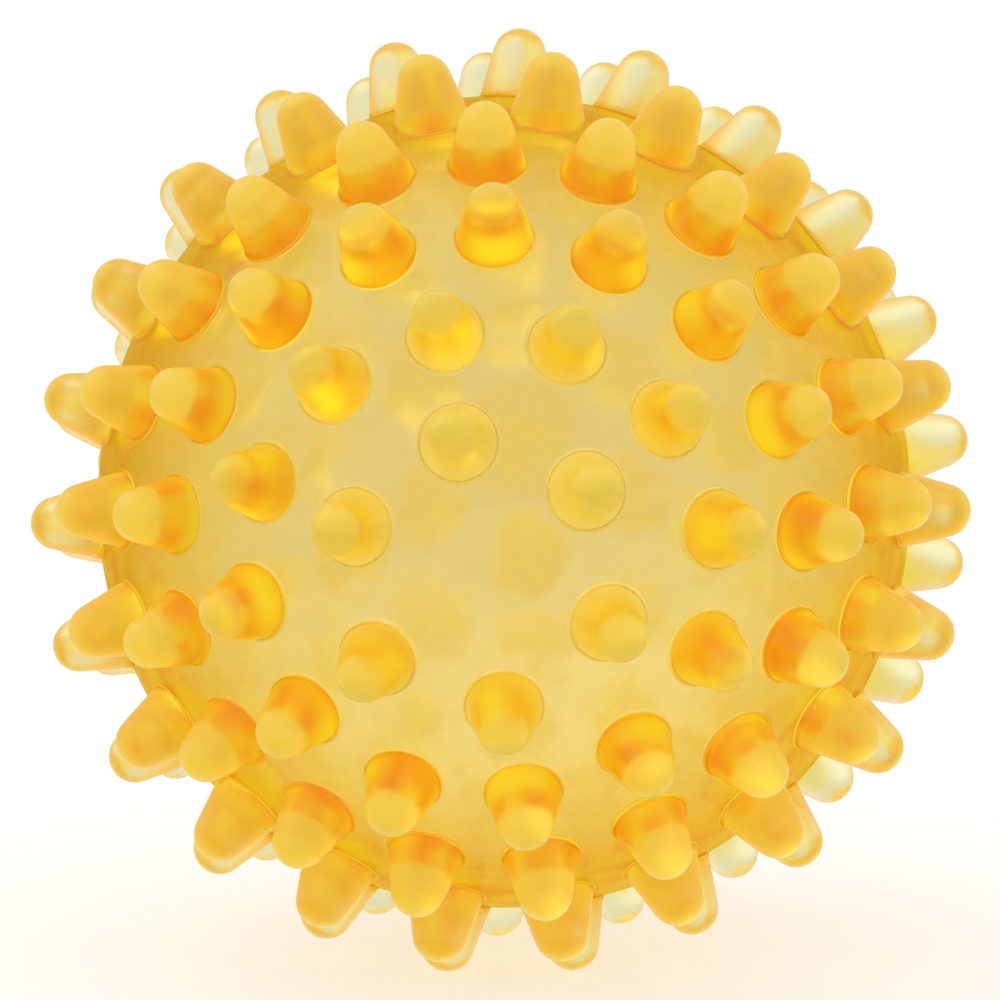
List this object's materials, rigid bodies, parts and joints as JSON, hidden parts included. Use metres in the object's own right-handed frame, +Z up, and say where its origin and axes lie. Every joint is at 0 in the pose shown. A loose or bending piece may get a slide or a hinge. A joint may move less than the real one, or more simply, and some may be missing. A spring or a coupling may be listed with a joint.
{
  "type": "sensory_ball",
  "caption": "Hollow air-filled ball of translucent yellow soft vinyl, covered in rows of rounded nubs for squeezing and tactile play, with a needle valve and pull-out plug at the rear pole.",
  "frame": {"origin": "centre of the ball", "axes": "+Z is up as pictured, -Y points from the centre through the bare front pole towards the viewer, +Y points out through the valve at the rear pole, +X is to the viewer's right"},
  "size_m": [0.0984, 0.0952, 0.0984],
  "materials": {
    "vinyl": "translucent yellow soft vinyl with a satin skin",
    "valve_seat": "thicker yellow vinyl, satin",
    "valve_plug": "solid yellow vinyl plug, satin"
  },
  "bodies": {
    "ball": {"wall": "vinyl", "nub_row_01": "vinyl", "nub_row_02": "vinyl", "nub_row_03": "vinyl", "nub_row_04": "vinyl", "nub_row_05": "vinyl", "nub_row_06": "vinyl", "nub_row_07": "vinyl", "nub_row_08": "vinyl", "nub_row_09": "vinyl", "nub_row_10": "vinyl", "valve_seat": "valve_seat"},
    "plug": {"valve_plug": "valve_plug"}
  },
  "joints": [
    {"name": "plug_pull", "type": "slide", "parent": "ball", "child": "plug", "axis": [0, 1, 0], "range_m": [0, 0.012]}
  ]
}
